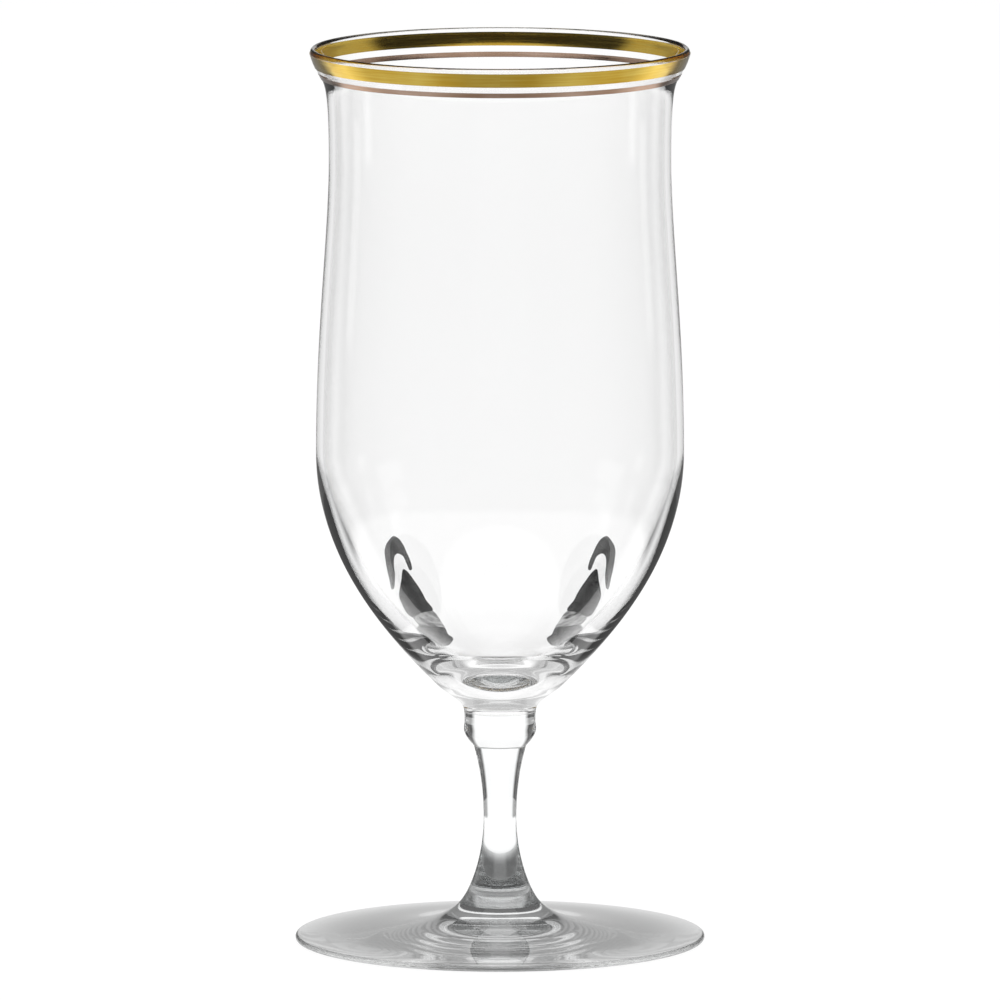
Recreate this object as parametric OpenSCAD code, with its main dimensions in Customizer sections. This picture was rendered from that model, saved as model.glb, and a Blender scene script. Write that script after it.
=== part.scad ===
// Stemmed beer glass with two gold bands at its lip.
// Every piece is turned about the Z axis. The glass stands on the plane z = 0.

/* [Foot] */
// Diameter of the foot
foot_d = 82.2; // [66:0.2:110]
// Thickness of the foot at its rounded edge
foot_edge = 1.2; // [0.8:0.1:2.4]
// Width of the flat ring that the glass stands on
rest_ring_w = 7; // [3:0.5:15]
// Depth of the hollow under the foot, at its middle
hollow_depth = 1.2; // [0.4:0.1:2.4]
// Height of the foot's crown, where the stem is joined to it
crown_h = 7.4; // [6:0.1:12]
// Diameter of the foot's crown, where the stem is joined to it
crown_d = 16.4; // [12:0.2:24]

/* [Stem] */
// Length of the stem, from the crown to the collar
stem_l = 31.9; // [20:0.1:70]
// Diameter of the stem at its waist
stem_waist_d = 6.6; // [5:0.1:9]
// Place of the waist, as a share of the stem's length
stem_waist_at = 0.536; // [0.4:0.002:0.65]
// Diameter of the stem's top, where the collar is joined to it
stem_top_d = 10.5; // [9:0.1:13]

/* [Collar] */
// Height of the collar
collar_h = 6.9; // [5.5:0.1:14]
// Diameter of the collar's raised ring
ring_d = 14.5; // [14:0.1:20]
// Place of the raised ring, as a share of the collar's height
ring_at = 0.5; // [0.35:0.01:0.55]
// How far the raised ring stands out from the collar
ring_proud = 0.15; // [0.1:0.05:1.2]
// How far the collar widens again to its top, where the bowl is joined to it
collar_spread = 0.1; // [0.1:0.05:1]

/* [Bowl] */
// Height of the bowl, from the collar to the lip
bowl_h = 133.8; // [100:0.2:170]
// Diameter of the bowl's heel, where its base turns into its side
heel_d = 25.1; // [21:0.1:34]
// Height of the heel above the collar
heel_h = 5.5; // [4:0.1:9]
// Slope of the bowl's side at the heel, in degrees from level
heel_angle = 44; // [35:1:55]
// Diameter of the belly
belly_d = 73.7; // [62:0.1:90]
// Place of the belly, as a share of the bowl's height
belly_at = 0.3916; // [0.34:0.002:0.46]
// How far the waist below the lip is drawn in from the belly
neck_inset = 2.65; // [0.6:0.05:5]
// Place of that waist, as a share of the bowl's height
neck_at = 0.8348; // [0.74:0.002:0.85]
// How far the lip flares out from the waist
lip_out = 3.75; // [1:0.05:7]
// Height of the lip's rounded edge
lip_round = 1; // [0.6:0.1:1.6]

/* [Walls] */
// Wall at the lip
lip_wall = 1.2; // [0.8:0.1:2.4]
// Wall at the waist
neck_wall = 1.3; // [0.8:0.1:2.6]
// Wall at the belly
belly_wall = 1.6; // [0.8:0.1:3]
// Thickness of the solid base, from the collar to the floor of the bowl
base_t = 7.8; // [5:0.1:12]

/* [Gold] */
// Width of the wide band, measured upright
band_w = 2.8; // [1:0.1:4]
// Width of the clear gap between the band and the line
band_gap = 1.2; // [0.4:0.1:2]
// Width of the thin line, measured upright
line_w = 1; // [0.4:0.1:2]
// Thickness of the gold
gold_t = 0.1; // [0.06:0.01:0.3]

/* [Hidden] */
$fn = 96;

// Heights of the joints between the pieces
collar_z = crown_h + stem_l;
bowl_z = collar_z + collar_h;
lip_z = bowl_z + bowl_h - lip_round;

// Steps along a long curve and along a short one
long_steps = 24;
short_steps = 8;

// Radii and heights of the outline's key points
rim_r = (foot_d - foot_edge) / 2;
rest_r = rim_r - rest_ring_w;
crown_r = crown_d / 2;
stem_r = stem_waist_d / 2;
stem_top_r = stem_top_d / 2;
stem_waist_h = stem_l * stem_waist_at;
ring_r = ring_d / 2;
ring_h = collar_h * ring_at;
collar_r = ring_r - ring_proud;
heel_r = heel_d / 2;
belly_r = belly_d / 2;
belly_h = bowl_h * belly_at;
neck_r = belly_r - neck_inset;
neck_h = bowl_h * neck_at;
lip_r = neck_r + lip_out;

// Spans of the curves
crown_span = crown_h - foot_edge;
upper_stem = stem_l - stem_waist_h;
upper_collar = (collar_h - ring_h) / 2;
low_span = belly_h - heel_h;
body_span = neck_h - belly_h;
flare_span = bowl_h - lip_round - neck_h;

// How far each curve runs straight on from its end, as radius and height, from the span it covers
edge_sweep = [-0.452 * (rim_r - crown_r), 0.194 * crown_span];
crown_sweep = [-0.855, 0.855] * crown_span;
crown_rise = [-0.47 * (crown_r - stem_r), 0.14 * stem_waist_h];
waist_low = [0, 0.433 * stem_waist_h];
waist_high = [0, 0.473 * upper_stem];
stem_swell = [0.436 * (stem_top_r - stem_r), 0.21 * upper_stem];
hollow_start = [-0.328 * rest_r, hollow_depth / 3];
hollow_floor = [-0.448 * rest_r, 0];
collar_start = [0.25 * (ring_r - stem_top_r), 0.2 * ring_h];
ring_under = [0, 0.45 * ring_h];
ring_turn = [0, 0.2 * ring_h];
collar_top_turn = [collar_spread, 0.42 * upper_collar];
base_turn = [0.018 * (heel_r - collar_r), 0.436 * heel_h];
heel_dir = [cos(heel_angle), sin(heel_angle)];
heel_below = 0.545 * heel_h * heel_dir;
heel_above = 0.318 * low_span * heel_dir;
belly_below = [0, 0.437 * low_span];
belly_above = [0, 0.427 * body_span];
neck_below = [0, 0.255 * body_span];
neck_above = [0, 0.924 * flare_span];
lip_flare = [0.6 * lip_out, 0.355 * flare_span];
cavity_below = [0, -0.404 * (belly_h - base_t)];
cavity_floor = [-0.454 * (belly_r - belly_wall), 0];

function bezier(a, b, c, d, t) =
    pow(1 - t, 3) * a + 3 * pow(1 - t, 2) * t * b + 3 * (1 - t) * t * t * c + pow(t, 3) * d;

// Curve that leaves p along u and arrives at q along v
function curve(p, u, q, v, steps) =
    [for (i = [0 : steps]) bezier(p, p + u, q - v, q, i / steps)];

// The same list without its first point, to follow a curve that ends there
function rest(points) = [for (i = [1 : len(points) - 1]) points[i]];

// Key points of the outline, as radius and height
crown = [crown_r, crown_h];
stem_waist = [stem_r, crown_h + stem_waist_h];
stem_top = [stem_top_r, collar_z];
ring = [ring_r, collar_z + ring_h];
collar_waist = [collar_r, bowl_z - upper_collar];
collar_top = [collar_r + collar_spread, bowl_z];
heel = [heel_r, bowl_z + heel_h];
belly = [belly_r, bowl_z + belly_h];
neck = [neck_r, bowl_z + neck_h];
lip = [lip_r, lip_z];
belly_in = belly - [belly_wall, 0];
neck_in = neck - [neck_wall, 0];
lip_in = lip - [lip_wall, 0];
floor_in = [0, bowl_z + base_t];

// A point on the outside of the flare, t from 0 at the waist to 1 at the lip
function flare(t) = bezier(neck, neck + neck_above, lip - lip_flare, lip, t);

// The place on the flare at a height, found by halving
function flare_at(z, low = 0.5, high = 1, turns = 40) =
    turns == 0 ? (low + high) / 2
    : flare((low + high) / 2)[1] < z ? flare_at(z, (low + high) / 2, high, turns - 1)
    : flare_at(z, low, (low + high) / 2, turns - 1);

// Points on the flare between two places, both ends included
function flare_run(from, to, steps) = [for (i = [0 : steps]) flare(from + (to - from) * i / steps)];

// Edges of the gold on the flare, from the lip down
band_low = flare_at(lip_z - band_w);
line_high = flare_at(lip_z - band_w - band_gap);
line_low = flare_at(lip_z - band_w - band_gap - line_w);
line_run = flare_run(line_low, line_high, short_steps);
band_run = flare_run(band_low, 1, short_steps);
gap_run = flare_run(line_high, band_low, short_steps);
clear_run = flare_run(0, line_low, long_steps);

// Rounded edge of the lip, over the top from the outside to the inside
lip_edge = [for (i = [0 : short_steps])
    let (a = 180 * i / short_steps)
    [(lip[0] + lip_in[0]) / 2 + lip_wall / 2 * cos(a), lip_z + lip_round * sin(a)]];

bowl_outside = concat(
    curve(collar_top, base_turn, heel, heel_below, short_steps),
    rest(curve(heel, heel_above, belly, belly_below, long_steps)),
    rest(curve(belly, belly_above, neck, neck_below, long_steps)),
    rest(clear_run), rest(line_run), rest(gap_run), rest(band_run));

bowl_inside = concat(
    curve(lip_in, -lip_flare, neck_in, -neck_above, long_steps),
    rest(curve(neck_in, -neck_below, belly_in, -belly_above, long_steps)),
    rest(curve(belly_in, cavity_below, floor_in, cavity_floor, long_steps)));

// Turns an outline on the side x >= 0 about the Z axis
module turned(outline) {
    rotate_extrude() polygon(outline);
}

// A skin of gold on the outside of the flare
module gold_skin(run) {
    outer = [for (i = [len(run) - 1 : -1 : 0]) run[i] + [gold_t, 0]];
    turned(concat(run, outer));
}

// Wide thin disc with a half-round edge, a swept crown and a hollow underside
module foot() {
    edge_r = foot_edge / 2;
    edge = [for (i = [0 : short_steps])
        let (a = -90 + 180 * i / short_steps)
        [rim_r + edge_r * cos(a), edge_r + edge_r * sin(a)]];
    top = curve([rim_r, foot_edge], edge_sweep, crown, crown_sweep, long_steps);
    hollow = curve([rest_r, 0], hollow_start, [0, hollow_depth], hollow_floor, short_steps);
    under = [for (i = [len(hollow) - 1 : -1 : 0]) hollow[i]];
    color("lightcyan", 0.5)
        turned(concat(under, edge, rest(top), [[0, crown_h]]));
}

// Solid stem, drawn in at its waist and swept out to the crown
module stem() {
    low = curve(crown, crown_rise, stem_waist, waist_low, long_steps);
    high = curve(stem_waist, waist_high, stem_top, stem_swell, long_steps);
    color("lightcyan", 0.5)
        turned(concat([[0, crown_h]], low, rest(high), [[0, collar_z]]));
}

// Short straight collar with a low raised ring at its middle
module collar() {
    under = curve(stem_top, collar_start, ring, ring_under, short_steps);
    side = curve(ring, ring_turn, collar_waist, ring_turn, short_steps);
    top = curve(collar_waist, ring_turn, collar_top, collar_top_turn, short_steps);
    color("lightcyan", 0.5)
        turned(concat([[0, collar_z]], under, rest(side), rest(top), [[0, bowl_z]]));
}

// Blown bowl with a flared lip, its wall thickening below the belly to a solid base
module bowl() {
    color("lightcyan", 0.5)
        turned(concat([[0, bowl_z]], bowl_outside, rest(lip_edge), rest(bowl_inside)));
}

// Wide band of fired gold just below the lip's rounded edge
module rim_band() {
    color("goldenrod") gold_skin(band_run);
}

// Thin gold line below the band
module rim_line() {
    color("goldenrod") gold_skin(line_run);
}

foot();
stem();
collar();
bowl();
rim_band();
rim_line();
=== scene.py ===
"""Stemmed beer glass with gold bands at its lip, dressed over its CAD frame.
Sizes are in millimetres until a mesh is made."""
import math

import bpy
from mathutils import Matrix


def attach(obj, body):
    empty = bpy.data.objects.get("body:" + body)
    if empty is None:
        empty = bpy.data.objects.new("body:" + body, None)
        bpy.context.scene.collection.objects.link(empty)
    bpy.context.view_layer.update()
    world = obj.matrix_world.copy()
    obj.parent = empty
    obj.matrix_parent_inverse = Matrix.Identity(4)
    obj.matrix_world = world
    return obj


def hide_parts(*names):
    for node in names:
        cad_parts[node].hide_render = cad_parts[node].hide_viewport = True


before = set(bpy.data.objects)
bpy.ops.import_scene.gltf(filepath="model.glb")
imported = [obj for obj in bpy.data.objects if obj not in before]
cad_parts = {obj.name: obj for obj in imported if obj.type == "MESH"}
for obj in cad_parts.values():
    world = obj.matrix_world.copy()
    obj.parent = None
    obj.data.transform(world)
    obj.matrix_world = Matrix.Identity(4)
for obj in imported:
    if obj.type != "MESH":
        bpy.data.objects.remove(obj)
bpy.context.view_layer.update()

MM = 0.001
SIDES = 240


def linear(hex_colour):
    """A colour written as sRGB hex, turned to linear with full alpha."""
    parts = [int(hex_colour[i:i + 2], 16) / 255 for i in (1, 3, 5)]
    return tuple(c / 12.92 if c <= 0.04045 else ((c + 0.055) / 1.055) ** 2.4 for c in parts) + (1.0,)


WHITE = linear("#FFFFFF")


def node(tree, kind, inputs=None, **settings):
    """Adds one node with its settings. An input takes a plain value, a socket or a node's first output."""
    made = tree.nodes.new(kind)
    for name, value in settings.items():
        setattr(made, name, value)
    for key, value in (inputs or {}).items():
        if isinstance(value, bpy.types.Node):
            value = value.outputs[0]
        if isinstance(value, bpy.types.NodeSocket):
            tree.links.new(value, made.inputs[key])
        else:
            made.inputs[key].default_value = value
    return made


def blank_material(name):
    """A material with an empty tree, and that tree."""
    made = bpy.data.materials.new(name)
    made.use_nodes = True
    made.node_tree.nodes.clear()
    return made, made.node_tree


# The outline of the glass, as radius and height

foot_d, foot_edge, rest_ring_w, hollow_depth = 82.2, 1.2, 7.0, 1.2
crown_h, crown_r = 7.4, 8.2
stem_l, stem_r, stem_top_r = 31.9, 3.3, 5.25
stem_waist_h = stem_l * 0.536
collar_h, ring_r, ring_proud, collar_spread = 6.9, 7.25, 0.15, 0.1
ring_h = collar_h * 0.5
collar_r = ring_r - ring_proud
bowl_h, heel_r, heel_h, heel_angle = 133.8, 12.55, 5.5, math.radians(44)
belly_r, belly_h = 36.85, bowl_h * 0.3916
neck_r, neck_h = belly_r - 2.65, bowl_h * 0.8348
lip_out, lip_round = 3.75, 1.0
lip_r = neck_r + lip_out
lip_wall, neck_wall, belly_wall, base_t = 1.2, 1.3, 1.6, 7.8
band_w, band_gap, line_w, gold_t = 2.8, 1.2, 1.0, 0.1
gold_sunk = 0.02

collar_z = crown_h + stem_l
bowl_z = collar_z + collar_h
lip_z = bowl_z + bowl_h - lip_round
rim_r = (foot_d - foot_edge) / 2
rest_r = rim_r - rest_ring_w
crown_span = crown_h - foot_edge
upper_stem = stem_l - stem_waist_h
upper_collar = (collar_h - ring_h) / 2
low_span = belly_h - heel_h
body_span = neck_h - belly_h
flare_span = bowl_h - lip_round - neck_h
heel_dir = (math.cos(heel_angle), math.sin(heel_angle))

crown = (crown_r, crown_h)
stem_waist = (stem_r, crown_h + stem_waist_h)
stem_top = (stem_top_r, collar_z)
ring = (ring_r, collar_z + ring_h)
collar_waist = (collar_r, bowl_z - upper_collar)
collar_top = (collar_r + collar_spread, bowl_z)
heel = (heel_r, bowl_z + heel_h)
belly = (belly_r, bowl_z + belly_h)
neck = (neck_r, bowl_z + neck_h)
lip = (lip_r, lip_z)
belly_in = (belly_r - belly_wall, belly[1])
neck_in = (neck_r - neck_wall, neck[1])
lip_in = (lip_r - lip_wall, lip_z)
floor_in = (0.0, bowl_z + base_t)

# How far a curve runs straight on from its end
neck_above = (0, 0.924 * flare_span)
lip_flare = (0.6 * lip_out, 0.355 * flare_span)
belly_above = (0, 0.427 * body_span)
neck_below = (0, 0.255 * body_span)
ring_turn = (0, 0.2 * ring_h)


def less(v):
    """The same run, turned back."""
    return (-v[0], -v[1])


def times(k, v):
    """The same run, k times as long."""
    return (k * v[0], k * v[1])


def along(p, u, q, v, t):
    """A point on the curve that leaves p along u and arrives at q along v."""
    a, b, c, d = (1 - t) ** 3, 3 * (1 - t) ** 2 * t, 3 * (1 - t) * t * t, t ** 3
    return tuple(a * p[i] + b * (p[i] + u[i]) + c * (q[i] - v[i]) + d * q[i] for i in (0, 1))


def swept(p, u, q, v, steps):
    """The whole curve that leaves p along u and arrives at q along v."""
    return [along(p, u, q, v, i / steps) for i in range(steps + 1)]


def flare(t):
    """A point on the outside of the flare, from 0 at the waist to 1 at the lip."""
    return along(neck, neck_above, lip, lip_flare, t)


def flare_at(z):
    """The place on the flare at a height, found by halving."""
    low, high = 0.5, 1.0
    for _ in range(40):
        middle = (low + high) / 2
        low, high = (middle, high) if flare(middle)[1] < z else (low, middle)
    return low


def flare_run(start, end, steps):
    """Points on the flare between two places, both ends included."""
    return [flare(start + (end - start) * i / steps) for i in range(steps + 1)]


def foot_outline():
    """Wide thin disc with a half-round edge, a swept crown and a hollow underside."""
    edge_r = foot_edge / 2
    hollow_start = (-0.328 * rest_r, hollow_depth / 3)
    under = swept((rest_r, 0), hollow_start, (0, hollow_depth), (-0.448 * rest_r, 0), 32)
    turns = [math.pi * (i / 16 - 0.5) for i in range(17)]
    edge = [(rim_r + edge_r * math.cos(a), edge_r + edge_r * math.sin(a)) for a in turns]
    edge_sweep = (-0.452 * (rim_r - crown_r), 0.194 * crown_span)
    top = swept((rim_r, foot_edge), edge_sweep, crown, (-0.855 * crown_span, 0.855 * crown_span), 72)
    return under[::-1] + edge + top[1:] + [(0, crown_h)]


def stem_outline():
    """Solid stem, drawn in at its waist and swept out to the crown."""
    rise = (-0.47 * (crown_r - stem_r), 0.14 * stem_waist_h)
    swell = (0.436 * (stem_top_r - stem_r), 0.21 * upper_stem)
    low = swept(crown, rise, stem_waist, (0, 0.433 * stem_waist_h), 48)
    high = swept(stem_waist, (0, 0.473 * upper_stem), stem_top, swell, 40)
    return [(0, crown_h)] + low + high[1:] + [(0, collar_z)]


def collar_outline():
    """Short straight collar with a low raised ring at its middle."""
    start = (0.25 * (ring_r - stem_top_r), 0.2 * ring_h)
    under = swept(stem_top, start, ring, (0, 0.45 * ring_h), 20)
    side = swept(ring, ring_turn, collar_waist, ring_turn, 16)
    top = swept(collar_waist, ring_turn, collar_top, (collar_spread, 0.42 * upper_collar), 16)
    return [(0, collar_z)] + under + side[1:] + top[1:] + [(0, bowl_z)]


def bowl_outline():
    """Blown bowl with a flared lip, its wall thickening below the belly to a solid base."""
    base_turn = (0.018 * (heel_r - collar_r), 0.436 * heel_h)
    base = swept(collar_top, base_turn, heel, times(0.545 * heel_h, heel_dir), 20)
    low = swept(heel, times(0.318 * low_span, heel_dir), belly, (0, 0.437 * low_span), 64)
    body = swept(belly, belly_above, neck, neck_below, 40)
    flared = flare_run(0, 1, 40)
    turns = [math.pi * i / 16 for i in range(17)]
    middle = (lip_r + lip_in[0]) / 2
    edge = [(middle + lip_wall / 2 * math.cos(a), lip_z + lip_round * math.sin(a)) for a in turns]
    flare_inside = swept(lip_in, less(lip_flare), neck_in, less(neck_above), 40)
    body_inside = swept(neck_in, less(neck_below), belly_in, less(belly_above), 40)
    cavity = swept(belly_in, (0, -0.404 * (belly_h - base_t)), floor_in, (-0.454 * belly_in[0], 0), 72)
    outside = base + low[1:] + body[1:] + flared[1:]
    return [(0, bowl_z)] + outside + edge[1:] + flare_inside[1:] + body_inside[1:] + cavity[1:]


def gold_outline(top, width):
    """A closed outline on the outside of the flare, its inner side sunk a little into the glass."""
    run = flare_run(flare_at(top - width), flare_at(top), 10)
    sunk = [(r - gold_sunk, z) for r, z in run]
    proud = [(r + gold_t, z) for r, z in run]
    closed = sunk[::-1] + proud
    return closed + closed[:1]


# Turned pieces: a ring of outline copies about the Z axis, skinned and closed

def turning_tree():
    """Turns an outline's points about the Z axis on a grid, one row of it for each side."""
    tree = bpy.data.node_groups.new("turned_about_axis", "GeometryNodeTree")
    wanted = (("Outline", "Geometry"), ("Sides", "Int"), ("Finish", "Material"))
    for name, kind in wanted:
        tree.interface.new_socket(name, in_out="INPUT", socket_type="NodeSocket" + kind)
    tree.interface.new_socket("Piece", in_out="OUTPUT", socket_type="NodeSocketGeometry")
    given = node(tree, "NodeGroupInput").outputs
    count = node(tree, "GeometryNodeAttributeDomainSize", {"Geometry": given["Outline"]}, component="MESH")
    rings = count.outputs["Point Count"]
    across = node(tree, "ShaderNodeMath", {0: given["Sides"], 1: 1.0}, operation="ADD")
    grid = node(tree, "GeometryNodeMeshGrid", {"Vertices X": across, "Vertices Y": rings})
    index = node(tree, "GeometryNodeInputIndex")
    step = node(tree, "ShaderNodeMath", {0: index, 1: rings}, operation="MODULO")
    part = node(tree, "ShaderNodeMath", {0: index, 1: rings}, operation="DIVIDE")
    side = node(tree, "ShaderNodeMath", {0: part}, operation="FLOOR")
    share = node(tree, "ShaderNodeMath", {0: side, 1: given["Sides"]}, operation="DIVIDE")
    angle = node(tree, "ShaderNodeMath", {0: share, 1: math.tau}, operation="MULTIPLY")
    point = node(
        tree, "GeometryNodeSampleIndex",
        {"Geometry": given["Outline"], "Value": node(tree, "GeometryNodeInputPosition"), "Index": step},
        data_type="FLOAT_VECTOR",
    )
    turned = node(
        tree, "ShaderNodeVectorRotate", {"Vector": point, "Angle": angle}, rotation_type="Z_AXIS",
    )
    moved = node(tree, "GeometryNodeSetPosition", {"Geometry": grid.outputs["Mesh"], "Position": turned})
    closed = node(tree, "GeometryNodeMergeByDistance", {"Geometry": moved, "Distance": 1e-7})
    smooth = node(tree, "GeometryNodeSetShadeSmooth", {"Geometry": closed})
    real = node(tree, "GeometryNodeRealizeInstances", {"Geometry": smooth})
    finished = node(tree, "GeometryNodeSetMaterial", {"Geometry": real, "Material": given["Finish"]})
    node(tree, "NodeGroupOutput", {"Piece": finished})
    return tree


turning = turning_tree()
sockets = {s.name: s.identifier for s in turning.interface.items_tree if s.in_out == "INPUT"}


def turned_piece(name, outline, finish, joints=()):
    """A closed piece turned from its outline. Its flat faces at the joints' heights get the fused finish."""
    seed = bpy.data.meshes.new(name + "_outline")
    seed.from_pydata([(r * MM, 0, z * MM) for r, z in outline], [], [])
    piece = bpy.data.objects.new(name, seed)
    bpy.context.scene.collection.objects.link(piece)
    modifier = piece.modifiers.new("turned", "NODES")
    modifier.node_group = turning
    modifier[sockets["Sides"]] = SIDES
    modifier[sockets["Finish"]] = finish
    bpy.context.view_layer.update()
    shaped = piece.evaluated_get(bpy.context.evaluated_depsgraph_get())
    mesh = bpy.data.meshes.new_from_object(shaped)
    mesh.name = name
    piece.modifiers.remove(modifier)
    piece.data = mesh
    bpy.data.meshes.remove(seed)
    mesh.set_sharp_from_angle(angle=math.radians(35))
    if joints:
        mesh.materials.append(fused)
        for face in mesh.polygons:
            level = abs(face.normal.z) > 0.999
            if level and any(abs(face.center.z - z * MM) < 1e-6 for z in joints):
                face.material_index = 1
    return piece


# Materials

def blown_glass():
    """Lead-free crystal, blown and fire-polished: colourless and mirror-smooth, with the faint swell of hand
    work. The swell is 25 mm from crest to crest."""
    made, tree = blank_material("blown_crystal_fire_polished")
    place = node(tree, "ShaderNodeTexCoord").outputs["Object"]
    swell = node(tree, "ShaderNodeTexNoise", {"Vector": place, "Scale": 1 / (25 * MM), "Detail": 1.0})
    hand_work = node(tree, "ShaderNodeBump", {"Height": swell, "Strength": 1.0, "Distance": 0.015 * MM})
    shine = node(tree, "ShaderNodeBsdfPrincipled", {
        "Base Color": linear("#FEFEFE"), "Roughness": 0.0, "IOR": 1.52, "Transmission Weight": 1.0,
        "Normal": hand_work,
    })
    node(tree, "ShaderNodeOutputMaterial", {"Surface": shine})
    return made


def drawn_glass():
    """The same crystal, drawn and tooled hot: clear, with faint cords of a cooler tint running round the
    axis. The cords are about 3 mm apart, drawn coarser than the real ones to show."""
    made, tree = blank_material("drawn_crystal_tooled_hot")
    place = node(tree, "ShaderNodeTexCoord").outputs["Object"]
    cord_size = (1 / (20 * MM), 1 / (20 * MM), 1 / (3 * MM))
    drawn_out = node(tree, "ShaderNodeMapping", {"Vector": place, "Scale": cord_size})
    cords = node(tree, "ShaderNodeTexNoise", {"Vector": drawn_out, "Scale": 1.0, "Detail": 2.0})
    tint = node(tree, "ShaderNodeMix", {0: cords, 6: WHITE, 7: linear("#FAFCFC")}, data_type="RGBA")
    shine = node(tree, "ShaderNodeBsdfPrincipled", {
        "Base Color": tint.outputs[2], "Roughness": 0.0, "IOR": 1.52, "Transmission Weight": 1.0,
    })
    node(tree, "ShaderNodeOutputMaterial", {"Surface": shine})
    return made


def fused_glass():
    """Where two gathers of hot glass have run together: the joint can't be seen."""
    made, tree = blank_material("fused_glass_joint")
    shine = node(tree, "ShaderNodeBsdfPrincipled", {"Base Color": WHITE, "Alpha": 0.0})
    node(tree, "ShaderNodeOutputMaterial", {"Surface": shine})
    return made


def fired_gold(name, bare, thick, worn):
    """Liquid bright gold, brushed on at the wheel and fired: a mirror-like skin, warmer where it lies thick,
    with fine brush lines round the rim and a pale sheen where it is seen aslant. The lines are about 0.3 mm
    apart, drawn coarser than the real ones to show."""
    made, tree = blank_material(name)
    place = node(tree, "ShaderNodeTexCoord").outputs["Object"]
    spot = node(tree, "ShaderNodeSeparateXYZ", {0: place}).outputs
    turn = node(tree, "ShaderNodeMath", {0: spot[0], 1: spot[1]}, operation="ARCTAN2")
    along_rim = node(tree, "ShaderNodeMath", {0: turn, 1: lip_r * MM}, operation="MULTIPLY")
    flat = node(tree, "ShaderNodeCombineXYZ", {0: along_rim, 2: spot[2]})
    stroke = (1 / (14 * MM), 1, 1 / (0.3 * MM))
    brushed = node(tree, "ShaderNodeMapping", {"Vector": flat, "Scale": stroke})
    lines = node(tree, "ShaderNodeTexNoise", {"Vector": brushed, "Scale": 1.0, "Detail": 3.0})
    pools = node(tree, "ShaderNodeTexNoise", {"Vector": place, "Scale": 1 / (11 * MM), "Detail": 2.0})
    mixed = node(tree, "ShaderNodeMath", {0: lines, 1: pools}, operation="ADD")
    share = node(tree, "ShaderNodeMapRange", {"Value": mixed, "From Min": 0.75, "From Max": 1.25})
    colour = node(tree, "ShaderNodeMix", {0: share, 6: linear(thick), 7: linear(bare)}, data_type="RGBA")
    dull = node(tree, "ShaderNodeMapRange", {
        "Value": lines, "From Min": 0.3, "From Max": 0.7, "To Min": worn - 0.05, "To Max": worn + 0.07,
    })
    ridges = node(tree, "ShaderNodeBump", {"Height": lines, "Strength": 0.12, "Distance": 0.02 * MM})
    shine = node(tree, "ShaderNodeBsdfPrincipled", {
        "Base Color": colour.outputs[2], "Metallic": 1.0, "Roughness": dull, "Normal": ridges,
        "Sheen Weight": 1.0, "Sheen Roughness": 0.3,
    })
    node(tree, "ShaderNodeOutputMaterial", {"Surface": shine})
    return made


blown = blown_glass()
drawn = drawn_glass()
fused = fused_glass()
gold = fired_gold("fired_bright_gold", "#EACD66", "#D6AE3E", 0.1)
thin_gold = fired_gold("thin_fired_gold_line", "#C9AE9C", "#A8876F", 0.18)

pieces = {
    "foot": turned_piece("foot_glass", foot_outline(), drawn, (crown_h,)),
    "stem": turned_piece("stem_glass", stem_outline(), drawn, (crown_h, collar_z)),
    "collar": turned_piece("collar_glass", collar_outline(), drawn, (collar_z, bowl_z)),
    "bowl": turned_piece("bowl_glass", bowl_outline(), blown, (bowl_z,)),
    "rim_band": turned_piece("rim_band_gold", gold_outline(lip_z, band_w), gold),
    "rim_line": turned_piece("rim_line_gold", gold_outline(lip_z - band_w - band_gap, line_w), thin_gold),
}
for node_name, piece in pieces.items():
    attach(piece, "root")
    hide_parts(node_name)


# Studio: a white floor, a round tent of painted reflections and painted shade that only the glass and the
# gold see, painted shadow cards, soft lamps

FLOOR_RADIUS, FLOOR_SIDES, FLOOR_DROP = 6000, 64, 0.2
TENT_RADIUS, TENT_HEIGHT, TENT_SIDES = 450, 1200, 48
RING_SIDES, RING_INNER, RING_OUTER, RING_HEIGHT = 96, 24, 150, 12

# Painted tones of the studio by bearing: degrees from straight behind the glass, the same on both sides, and
# tone.
# The gold and the glass mirror the floor and the tent in these tones, as painted reflections.
FLOOR_MIRRORED = (
    (0, 0.12), (41, 0.12), (48, 1.2), (66, 1.3), (85, 0.75), (130, 0.66), (160, 0.47), (180, 0.45),
)
TENT_MIRRORED = (
    (0, 0.8), (9, 0.75), (15, 0.2), (38, 0.2), (50, 1.0), (80, 0.9), (96, 0.5), (180, 0.46),
)
# The glass also shows both by refraction, in painted tones. The sides are light for a straight look through
# the bowl, and painted dark beside the stem and for light that has run along inside the glass, which paints
# the glass's dark edges.
BOWL_THROUGH = ((0, 1.1), (33, 1.1), (44, 0.8), (180, 0.8))
STEM_THROUGH = ((0, 1.1), (33, 1.1), (42, 0.02), (62, 0.02), (74, 0.8), (180, 0.8))
STEM_TO_FLOOR = ((0, 1.1), (33, 1.1), (44, 0.35), (60, 0.35), (74, 0.8), (180, 0.8))
EDGE_THROUGH = ((0, 1.1), (31, 1.1), (43, 0.03), (180, 0.03))
# Higher up on the tent, from below to above
HIGH_THROUGH = ((0, 0.5), (45, 0.5), (55, 0.05), (180, 0.04))
UPPER_THROUGH = ((0, 0.5), (38, 0.5), (46, 0.6), (78, 0.6), (90, 0.04), (180, 0.04))
TOP_THROUGH = ((0, 0.5), (40, 0.5), (50, 0.9), (180, 0.9))
# Painted strips of light on the tent, seen only through the glass: two bearings in degrees and two heights
# in metres
SIDE_STRIPS = ((80, 107, 0.15, 0.26), (62, 74, 0.075, 0.15))
STRIP_TONE = 0.8


def bearing_of(tree, spot):
    """The angle of a spot from straight behind the glass, in radians, the same on both sides."""
    aside = node(tree, "ShaderNodeMath", {0: spot[0]}, operation="ABSOLUTE")
    return node(tree, "ShaderNodeMath", {0: aside, 1: spot[1]}, operation="ARCTAN2")


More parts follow.
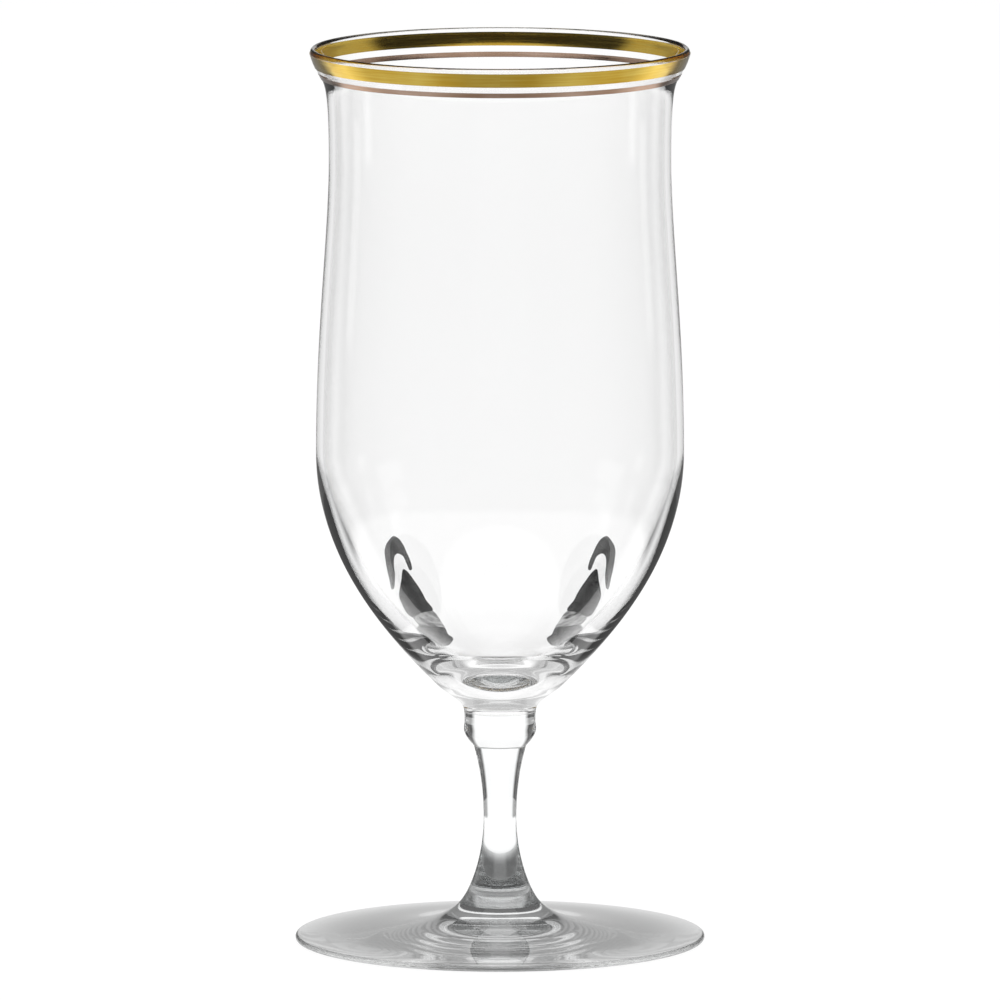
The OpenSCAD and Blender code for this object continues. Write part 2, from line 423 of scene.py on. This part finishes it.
def tones_by(tree, bearing, tones):
    """The studio's tone at a bearing, between the tones given by degrees."""
    share = node(tree, "ShaderNodeMath", {0: bearing, 1: math.pi}, operation="DIVIDE")
    ramp = node(tree, "ShaderNodeValToRGB", {0: share})
    stops = ramp.color_ramp.elements
    stops[0].position, stops[1].position = 0.0, 1.0
    for degrees, tone in tones[1:-1]:
        stops.new(degrees / 180)
    for stop, (degrees, tone) in zip(stops, tones):
        stop.color = (tone, tone, tone, 1)
    return ramp


def straight_look(tree, bearing, tone, stem_tones, bowl_tones, where=1.0):
    """Paints another tone where the eye looks straight through: past two faces of glass, as in the stem, or
    past four, as in the bowl."""
    depth = node(tree, "ShaderNodeLightPath").outputs["Ray Depth"]
    for faces, tones in ((2, stem_tones), (4, bowl_tones)):
        crossed = node(tree, "ShaderNodeMath", {0: depth, 1: faces, 2: 0.5}, operation="COMPARE")
        share = node(tree, "ShaderNodeMath", {0: crossed, 1: where}, operation="MULTIPLY")
        tone = node(tree, "ShaderNodeMix", {0: share, 2: tone, 3: tones_by(tree, bearing, tones)})
    return tone


def floor_finish():
    """White floor with a painted shade under the foot, which only a look through the glass shows. Gold and
    glass mirror it in painted tones, as if lit from behind, grey in front, with a pale strip in the middle
    behind the glass."""
    made, tree = blank_material("white_studio_floor")
    path = node(tree, "ShaderNodeLightPath").outputs
    place = node(tree, "ShaderNodeTexCoord").outputs["Object"]
    spot = node(tree, "ShaderNodeSeparateXYZ", {0: place}).outputs
    out = node(tree, "ShaderNodeVectorMath", {0: place}, operation="LENGTH").outputs["Value"]
    bearing = bearing_of(tree, spot)
    # Painted shade under the foot, seen only through the glass
    painted_floor_shade = node(tree, "ShaderNodeMapRange", {
        "Value": out, "From Min": 0.027, "From Max": 0.05, "To Min": 0.11, "To Max": 1.0,
    }, interpolation_type="SMOOTHSTEP")
    far = node(tree, "ShaderNodeMapRange", {
        "Value": out, "From Min": 0.14, "From Max": 0.17,
    }, interpolation_type="SMOOTHSTEP")
    edges = tones_by(tree, bearing, EDGE_THROUGH)
    sides = straight_look(tree, bearing, edges, STEM_TO_FLOOR, BOWL_THROUGH)
    wide = node(tree, "ShaderNodeMix", {0: far, 2: 1.1, 3: sides})
    through = node(tree, "ShaderNodeMath", {0: painted_floor_shade, 1: wide}, operation="MULTIPLY")
    around = tones_by(tree, bearing, FLOOR_MIRRORED)
    aside = node(tree, "ShaderNodeMath", {0: spot[0]}, operation="ABSOLUTE")
    beyond_strip = node(tree, "ShaderNodeMapRange", {
        "Value": aside, "From Min": 0.046, "From Max": 0.06,
    }, interpolation_type="SMOOTHSTEP")
    strip = node(tree, "ShaderNodeMix", {0: beyond_strip, 2: 0.9, 3: around})
    behind = node(tree, "ShaderNodeMapRange", {
        "Value": spot[1], "From Min": 0.0, "From Max": 0.03,
    }, interpolation_type="SMOOTHSTEP")
    mirrored = node(tree, "ShaderNodeMix", {0: behind, 2: around, 3: strip})
    tone = node(tree, "ShaderNodeMix", {0: path["Is Transmission Ray"], 2: mirrored, 3: through})
    matt = node(tree, "ShaderNodeBsdfDiffuse", {"Color": linear("#5A5A5A")})
    level = node(tree, "ShaderNodeMath", {0: path["Is Camera Ray"], 1: 0.95}, operation="MULTIPLY")
    lit = node(tree, "ShaderNodeEmission", {"Color": WHITE, "Strength": level})
    plain = node(tree, "ShaderNodeAddShader", {0: matt, 1: lit})
    shown = node(tree, "ShaderNodeEmission", {"Color": WHITE, "Strength": tone})
    by_glass = node(
        tree, "ShaderNodeMath", {0: path["Is Glossy Ray"], 1: path["Is Transmission Ray"]},
        operation="MAXIMUM",
    )
    mixed = node(tree, "ShaderNodeMixShader", {0: by_glass, 1: plain, 2: shown})
    node(tree, "ShaderNodeOutputMaterial", {"Surface": mixed})
    return made


def tent_finish():
    """Tent of painted reflections and painted shade: white and grey panels below, a dark canopy above,
    painted strips of light on each side.
    """
    made, tree = blank_material("painted_light_tent")
    path = node(tree, "ShaderNodeLightPath").outputs
    place = node(tree, "ShaderNodeTexCoord").outputs["Object"]
    spot = node(tree, "ShaderNodeSeparateXYZ", {0: place}).outputs
    bearing = bearing_of(tree, spot)

    # The gold mirrors painted panels that fade upwards. The panel straight behind reaches higher.
    reach = node(tree, "ShaderNodeMapRange", {
        "Value": bearing, "From Min": math.radians(9), "From Max": math.radians(15),
        "To Min": -0.14, "To Max": 0.0,
    }, interpolation_type="SMOOTHSTEP")
    height = node(tree, "ShaderNodeMath", {0: spot[2], 1: reach}, operation="ADD")
    rise = node(tree, "ShaderNodeMapRange", {
        "Value": height, "From Min": 0.05, "From Max": 0.24,
    }, interpolation_type="SMOOTHSTEP")
    mirrored = node(tree, "ShaderNodeMix", {0: rise, 2: tones_by(tree, bearing, TENT_MIRRORED), 3: 0.06})

    # Through the glass the tent shows painted shade that darkens to its canopy, which hangs lower at the
    # sides
    canopy_from = node(tree, "ShaderNodeMapRange", {
        "Value": bearing, "From Min": math.radians(45), "From Max": math.radians(55),
        "To Min": 0.3, "To Max": 0.19,
    }, interpolation_type="SMOOTHSTEP")
    higher = node(tree, "ShaderNodeMapRange", {"Value": spot[2], "From Min": 0.15, "From Max": canopy_from})
    edges = tones_by(tree, bearing, EDGE_THROUGH)
    through = node(tree, "ShaderNodeMix", {0: higher, 2: edges, 3: tones_by(tree, bearing, HIGH_THROUGH)})
    for start, tones in ((0.28, UPPER_THROUGH), (0.6, TOP_THROUGH)):
        above = node(tree, "ShaderNodeMapRange", {
            "Value": spot[2], "From Min": start, "From Max": start + 0.03,
        }, interpolation_type="SMOOTHSTEP")
        through = node(tree, "ShaderNodeMix", {0: above, 2: through, 3: tones_by(tree, bearing, tones)})
    for start, end, low, high in SIDE_STRIPS:
        inside = 1.0
        borders = (
            (bearing, math.radians(start), math.radians(start + 4), 0.0, 1.0),
            (bearing, math.radians(end - 4), math.radians(end), 1.0, 0.0),
            (spot[2], low, low + 0.02, 0.0, 1.0),
            (spot[2], high - 0.02, high, 1.0, 0.0),
        )
        for value, first, last, before, after in borders:
            border = node(tree, "ShaderNodeMapRange", {
                "Value": value, "From Min": first, "From Max": last, "To Min": before, "To Max": after,
            }, interpolation_type="SMOOTHSTEP")
            inside = node(tree, "ShaderNodeMath", {0: inside, 1: border}, operation="MULTIPLY")
        through = node(tree, "ShaderNodeMix", {0: inside, 2: through, 3: STRIP_TONE})
    low_down = node(tree, "ShaderNodeMapRange", {
        "Value": spot[2], "From Min": 0.28, "From Max": 0.3, "To Min": 1.0, "To Max": 0.0,
    }, interpolation_type="SMOOTHSTEP")
    through = straight_look(tree, bearing, through, STEM_THROUGH, BOWL_THROUGH, low_down)

    tone = node(tree, "ShaderNodeMix", {0: path["Is Transmission Ray"], 2: mirrored, 3: through})
    light = node(tree, "ShaderNodeEmission", {"Color": WHITE, "Strength": tone})
    node(tree, "ShaderNodeOutputMaterial", {"Surface": light})
    return made


def painted_shade_finish(name, dark, pale, speck):
    """Card of painted shade with soft cloudy blotches between two tones, each about speck millimetres
    across. It shows its face only, and not to a look through one wall, such as down into the bowl."""
    made, tree = blank_material(name)
    place = node(tree, "ShaderNodeTexCoord").outputs["Object"]
    cloud = node(tree, "ShaderNodeTexNoise", {"Vector": place, "Scale": 1 / (speck * MM), "Detail": 2.0})
    share = node(tree, "ShaderNodeMapRange", {"Value": cloud, "From Min": 0.35, "From Max": 0.65})
    tone = node(tree, "ShaderNodeMix", {0: share, 6: linear(dark), 7: linear(pale)}, data_type="RGBA")
    light = node(tree, "ShaderNodeEmission", {"Color": tone.outputs[2], "Strength": 1.0})
    clear = node(tree, "ShaderNodeBsdfTransparent")
    back = node(tree, "ShaderNodeNewGeometry").outputs["Backfacing"]
    depth = node(tree, "ShaderNodeLightPath").outputs["Ray Depth"]
    one_wall = node(tree, "ShaderNodeMath", {0: depth, 1: 2, 2: 0.5}, operation="COMPARE")
    hidden = node(tree, "ShaderNodeMath", {0: back, 1: one_wall}, operation="MAXIMUM")
    faced = node(tree, "ShaderNodeMixShader", {0: hidden, 1: light, 2: clear})
    node(tree, "ShaderNodeOutputMaterial", {"Surface": faced})
    return made


def flat_mesh(name, corners, faces, finish):
    """A piece of the studio, made of flat faces."""
    mesh = bpy.data.meshes.new(name)
    mesh.from_pydata([tuple(v * MM for v in corner) for corner in corners], [], faces)
    mesh.materials.append(finish)
    made = bpy.data.objects.new(name, mesh)
    bpy.context.scene.collection.objects.link(made)
    return made


def only_for(made, glossy=False, transmission=False):
    """Keeps a piece of the studio out of the picture itself: only reflections or the glass's refraction
    show it."""
    made.visible_camera = False
    made.visible_diffuse = False
    made.visible_shadow = False
    made.visible_glossy = glossy
    made.visible_transmission = transmission


def rounded(corners, steps=8):
    """A smooth closed line through the corners."""
    line = []
    count = len(corners)
    for i in range(count):
        a, b, c, d = (corners[(i + k) % count] for k in (-1, 0, 1, 2))
        for step in range(steps):
            t = step / steps
            line.append(tuple(
                b[j] + 0.5 * t * (c[j] - a[j] + t * (2 * a[j] - 5 * b[j] + 4 * c[j] - d[j]
                                                    + t * (3 * (b[j] - c[j]) + d[j] - a[j])))
                for j in (0, 1)))
    return line


def shade_card(name, side, corners, height, finish):
    """A level card of painted shade with a smooth outline that faces up."""
    line = rounded([(side * x, y) for x, y in corners])
    area = sum(a[0] * b[1] - b[0] * a[1] for a, b in zip(line, line[1:] + line[:1]))
    line = line if area > 0 else line[::-1]
    card = flat_mesh(name, [(x, y, height) for x, y in line], [list(range(len(line)))], finish)
    only_for(card, transmission=True)
    return card


floor_turns = [math.tau * i / FLOOR_SIDES for i in range(FLOOR_SIDES)]
floor_edge = [(FLOOR_RADIUS * math.cos(a), FLOOR_RADIUS * math.sin(a), -FLOOR_DROP) for a in floor_turns]
flat_mesh("floor", floor_edge, [list(range(FLOOR_SIDES))], floor_finish())

tent_turns = [math.radians(-180 + 360 * i / TENT_SIDES) for i in range(TENT_SIDES + 1)]
tent_corners = [
    (TENT_RADIUS * math.sin(a), TENT_RADIUS * math.cos(a), z) for a in tent_turns for z in (0, TENT_HEIGHT)
]
tent_walls = [(2 * i, 2 * i + 2, 2 * i + 3, 2 * i + 1) for i in range(TENT_SIDES)]
# The tent glows with painted reflections and painted shade
tent = flat_mesh("painted_light_tent", tent_corners, tent_walls, tent_finish())
only_for(tent, glossy=True, transmission=True)

# Finishes of painted shadow and painted shade, for the cards
painted_shadow_black = painted_shade_finish("painted_shadow_black", "#050505", "#303030", 5)
painted_shadow_dark = painted_shade_finish("painted_shadow_dark", "#303030", "#505050", 9)
painted_shadow_grey = painted_shade_finish("painted_shadow_grey", "#101010", "#4A4A4A", 5)
painted_shade_over_foot = painted_shade_finish("painted_shade_over_foot", "#8C8C8C", "#9C9C9C", 30)
painted_shadow_pale = painted_shade_finish("painted_shadow_pale", "#303030", "#C4C4C4", 4)

# Painted shadow cards low behind the bowl, on each side, in place of the glass's own shadow: the bowl shows
# them as dark curls
core = [
    (29.5, 98), (28, 99), (26.5, 95), (25.5, 91), (24, 85), (22.5, 77), (21.5, 70), (19.5, 62), (19.5, 57),
    (21.5, 53), (24, 45), (26.5, 34), (28.5, 33), (30, 39), (31.2, 47), (32, 56), (31.5, 68), (30.5, 82),
]
hook = [
    (36.5, 107), (35.5, 117), (34, 125), (32, 133), (30, 133), (28.5, 128), (27.5, 121), (26.5, 114),
    (26, 105), (27, 102), (28, 109), (29, 115), (31, 115), (32.5, 108), (33, 96), (33, 84), (34, 66),
    (35.5, 60), (36, 75), (36.5, 88),
]
middle = [
    (26.5, 34), (24, 46.5), (21.5, 54), (19.5, 58), (18, 54), (16.5, 45), (15.5, 38), (18, 33), (20.5, 30),
    (23.5, 25),
]
low = [
    (24, 26.5), (20.5, 33), (18, 36), (15.5, 38), (14.5, 30), (13, 26), (13.5, 18), (15, 9), (17.5, 2),
    (20, 1), (23, 2), (25, 12),
]
beside = [(47, 6), (66, 16), (92, 14), (112, -8), (108, -40), (84, -52), (60, -42), (46, -18)]
for side, hand in ((-1, "left"), (1, "right")):
    shade_card("shade_core_" + hand, side, core, 46.0, painted_shadow_black)
    shade_card("shade_hook_" + hand, side, hook, 45.9, painted_shadow_dark)
    shade_card("shade_low_" + hand, side, low, 45.8, painted_shadow_grey)
    shade_card("shade_middle_" + hand, side, middle, 45.7, painted_shadow_pale)
    # Painted shade on the floor beside the foot, which the gold mirrors too
    foot_side = shade_card("shade_beside_foot_" + hand, side, beside, 0.4, painted_shadow_dark)
    foot_side.visible_glossy = True

# A ring of painted shade over the foot that faces down: only light that has run through the foot sees it
ring_turns = [math.tau * i / RING_SIDES for i in range(RING_SIDES)]
ring_corners = [
    (r * math.cos(a), r * math.sin(a), RING_HEIGHT) for r in (RING_INNER, RING_OUTER) for a in ring_turns
]
ring_faces = [
    (i, (i + 1) % RING_SIDES, RING_SIDES + (i + 1) % RING_SIDES, RING_SIDES + i) for i in range(RING_SIDES)
]
over_foot = flat_mesh("shade_over_foot", ring_corners, ring_faces, painted_shade_over_foot)
only_for(over_foot, transmission=True)

# White round about for the eye and for reflections, dimmer as a light
world = bpy.data.worlds.new("white_studio")
bpy.context.scene.world = world
world.use_nodes = True
sky = world.node_tree
sky.nodes.clear()
path = node(sky, "ShaderNodeLightPath").outputs
seen = node(sky, "ShaderNodeMath", {0: path["Is Camera Ray"], 1: path["Is Glossy Ray"]}, operation="MAXIMUM")
seen = node(sky, "ShaderNodeMath", {0: seen, 1: path["Is Transmission Ray"]}, operation="MAXIMUM")
sky_tone = node(sky, "ShaderNodeMapRange", {"Value": seen, "To Min": 0.35, "To Max": 1.0})
white_sky = node(sky, "ShaderNodeBackground", {"Color": WHITE, "Strength": sky_tone})
node(sky, "ShaderNodeOutputWorld", {"Surface": white_sky})


def soft_lamp(name, place, size, power):
    """A softbox aimed at the foot. Neither the gold nor the glass shows it."""
    data = bpy.data.lights.new(name, "AREA")
    data.shape = "RECTANGLE"
    data.size, data.size_y = size
    data.energy = power
    made = bpy.data.objects.new(name, data)
    made.location = place
    aim = (-made.location).normalized()
    made.rotation_euler = aim.to_track_quat("-Z", "Y").to_euler()
    made.visible_glossy = False
    made.visible_transmission = False
    bpy.context.scene.collection.objects.link(made)


soft_lamp("overhead_softbox", (0, 0.2, 1.6), (1.2, 1.2), 14)
soft_lamp("left_softbox", (-1.3, -0.9, 0.9), (0.6, 1.0), 6)
soft_lamp("right_softbox", (1.3, -0.9, 0.9), (0.6, 1.0), 6)

# A long lens from just above, looking down by almost eight degrees
camera = bpy.data.cameras.new("camera")
camera.sensor_width = 36
camera.lens = 613.1
camera.clip_start, camera.clip_end = 0.1, 100
viewer = bpy.data.objects.new("camera", camera)
viewer.location = (0, -3.377, 0.5594)
viewer.rotation_euler = (math.radians(90 - 7.931), 0, 0)
bpy.context.scene.collection.objects.link(viewer)
bpy.context.scene.camera = viewer

# Light runs a long way inside the glass before it leaves
bpy.context.scene.view_settings.view_transform = "Standard"
cycles = bpy.context.scene.cycles
cycles.max_bounces = 40
cycles.transmission_bounces = 40
cycles.glossy_bounces = 40
cycles.transparent_max_bounces = 32
